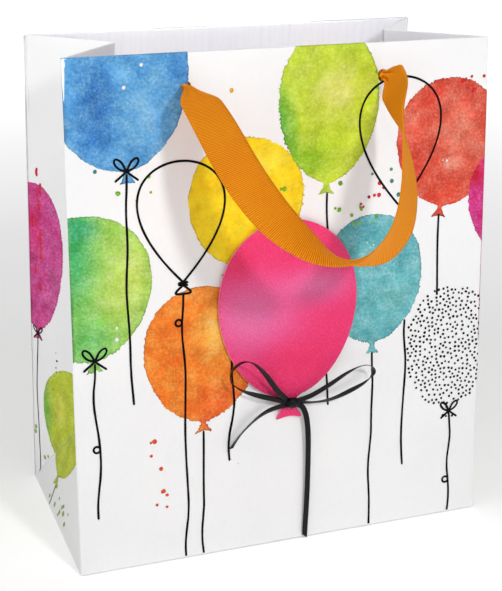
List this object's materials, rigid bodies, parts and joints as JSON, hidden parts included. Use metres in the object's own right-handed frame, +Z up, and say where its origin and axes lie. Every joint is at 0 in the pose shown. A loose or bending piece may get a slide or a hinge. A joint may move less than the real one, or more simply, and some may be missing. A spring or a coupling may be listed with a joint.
{
  "type": "gift bag",
  "caption": "Paper gift bag with pinched side gussets, ribbon handles and a raised balloon card tied with a satin bow.",
  "frame": {"origin": "centre of the base, on the surface the bag stands on", "axes": "+X along the width, to the right seen from the front; front wall faces -Y; +Z up"},
  "size_m": [0.215, 0.2432, 0.2502],
  "materials": {
    "printed_paper": "satin, coated, with a watercolour balloon print",
    "inside_paper": "matte, uncoated",
    "stiffening_board": "matte",
    "grosgrain_ribbon": "ribbed weave",
    "embossed_card": "satin, embossed leather grain",
    "foam_pads": "matte foam",
    "satin_ribbon": "satin"
  },
  "bodies": {
    "base": {"bottom_outer_flap": "printed_paper", "bottom_inner_flap": "printed_paper", "bottom_left_flap": "printed_paper", "bottom_right_flap": "printed_paper", "base_board": "stiffening_board"},
    "front_wall": {"front_panel": "printed_paper", "front_hem": "inside_paper", "front_board": "stiffening_board", "front_left_knot": "grosgrain_ribbon", "front_right_knot": "grosgrain_ribbon", "balloon_card": "embossed_card", "foam_pads": "foam_pads", "bow_knot": "satin_ribbon", "bow_left_loop": "satin_ribbon", "bow_right_loop": "satin_ribbon", "bow_short_tail": "satin_ribbon", "bow_long_tail": "satin_ribbon"},
    "back_wall": {"back_panel": "printed_paper", "back_hem": "inside_paper", "back_board": "stiffening_board", "back_left_knot": "grosgrain_ribbon", "back_right_knot": "grosgrain_ribbon", "side_seam_flap": "inside_paper"},
    "front_left_gusset_half": {"front_left_gusset": "printed_paper", "front_left_gusset_hem": "inside_paper"},
    "front_right_gusset_half": {"front_right_gusset": "printed_paper", "front_right_gusset_hem": "inside_paper"},
    "back_left_gusset_half": {"back_left_gusset": "printed_paper", "back_left_gusset_hem": "inside_paper"},
    "back_right_gusset_half": {"back_right_gusset": "printed_paper", "back_right_gusset_hem": "inside_paper"},
    "left_gusset_triangle": {"left_triangle": "printed_paper"},
    "right_gusset_triangle": {"right_triangle": "printed_paper"},
    "front_handle": {"front_handle": "grosgrain_ribbon"},
    "back_handle": {"back_handle": "grosgrain_ribbon"}
  },
  "joints": [
    {"name": "front_wall_lean", "type": "hinge", "parent": "base", "child": "front_wall", "pos_m": [0, -0.055, 0.0005], "axis": [-1, 0, 0], "range_deg": [0, 5]},
    {"name": "back_wall_lean", "type": "hinge", "parent": "base", "child": "back_wall", "pos_m": [0, 0.055, 0.0005], "axis": [1, 0, 0], "range_deg": [0, 5]},
    {"name": "front_left_gusset_fold", "type": "hinge", "parent": "front_wall", "child": "front_left_gusset_half", "pos_m": [-0.1071, -0.0545, 0.00047], "axis": [0, -0.052, -0.9986], "range_deg": [0, 29.5]},
    {"name": "front_right_gusset_fold", "type": "hinge", "parent": "front_wall", "child": "front_right_gusset_half", "pos_m": [0.1071, -0.0545, 0.00047], "axis": [0, 0.052, 0.9986], "range_deg": [0, 29.5]},
    {"name": "back_left_gusset_fold", "type": "hinge", "parent": "back_wall", "child": "back_left_gusset_half", "pos_m": [-0.1071, 0.0545, 0.00047], "axis": [0, -0.052, 0.9986], "range_deg": [0, 29.5]},
    {"name": "back_right_gusset_fold", "type": "hinge", "parent": "back_wall", "child": "back_right_gusset_half", "pos_m": [0.1071, 0.0545, 0.00047], "axis": [0, 0.052, -0.9986], "range_deg": [0, 29.5]},
    {"name": "left_triangle_lean", "type": "hinge", "parent": "base", "child": "left_gusset_triangle", "pos_m": [-0.1071, 0, 0.0005], "axis": [0, 1, 0], "range_deg": [0, 12]},
    {"name": "right_triangle_lean", "type": "hinge", "parent": "base", "child": "right_gusset_triangle", "pos_m": [0.1071, 0, 0.0005], "axis": [0, -1, 0], "range_deg": [0, 12]},
    {"name": "front_handle_swing", "type": "hinge", "parent": "front_wall", "child": "front_handle", "pos_m": [0, -0.05082, 0.2346], "axis": [-1, 0, 0], "range_deg": [0, 120]},
    {"name": "back_handle_swing", "type": "hinge", "parent": "back_wall", "child": "back_handle", "pos_m": [0, 0.05082, 0.2346], "axis": [1, 0, 0], "range_deg": [0, 120]}
  ],
  "couplings": [
    {"joint": "back_wall_lean", "follows": "front_wall_lean", "ratio": 1},
    {"joint": "front_left_gusset_fold", "follows": "front_wall_lean", "ratio": 5.85},
    {"joint": "front_right_gusset_fold", "follows": "front_wall_lean", "ratio": 5.85},
    {"joint": "back_left_gusset_fold", "follows": "front_wall_lean", "ratio": 5.85},
    {"joint": "back_right_gusset_fold", "follows": "front_wall_lean", "ratio": 5.85},
    {"joint": "left_triangle_lean", "follows": "front_wall_lean", "ratio": 2.38},
    {"joint": "right_triangle_lean", "follows": "front_wall_lean", "ratio": 2.38}
  ]
}
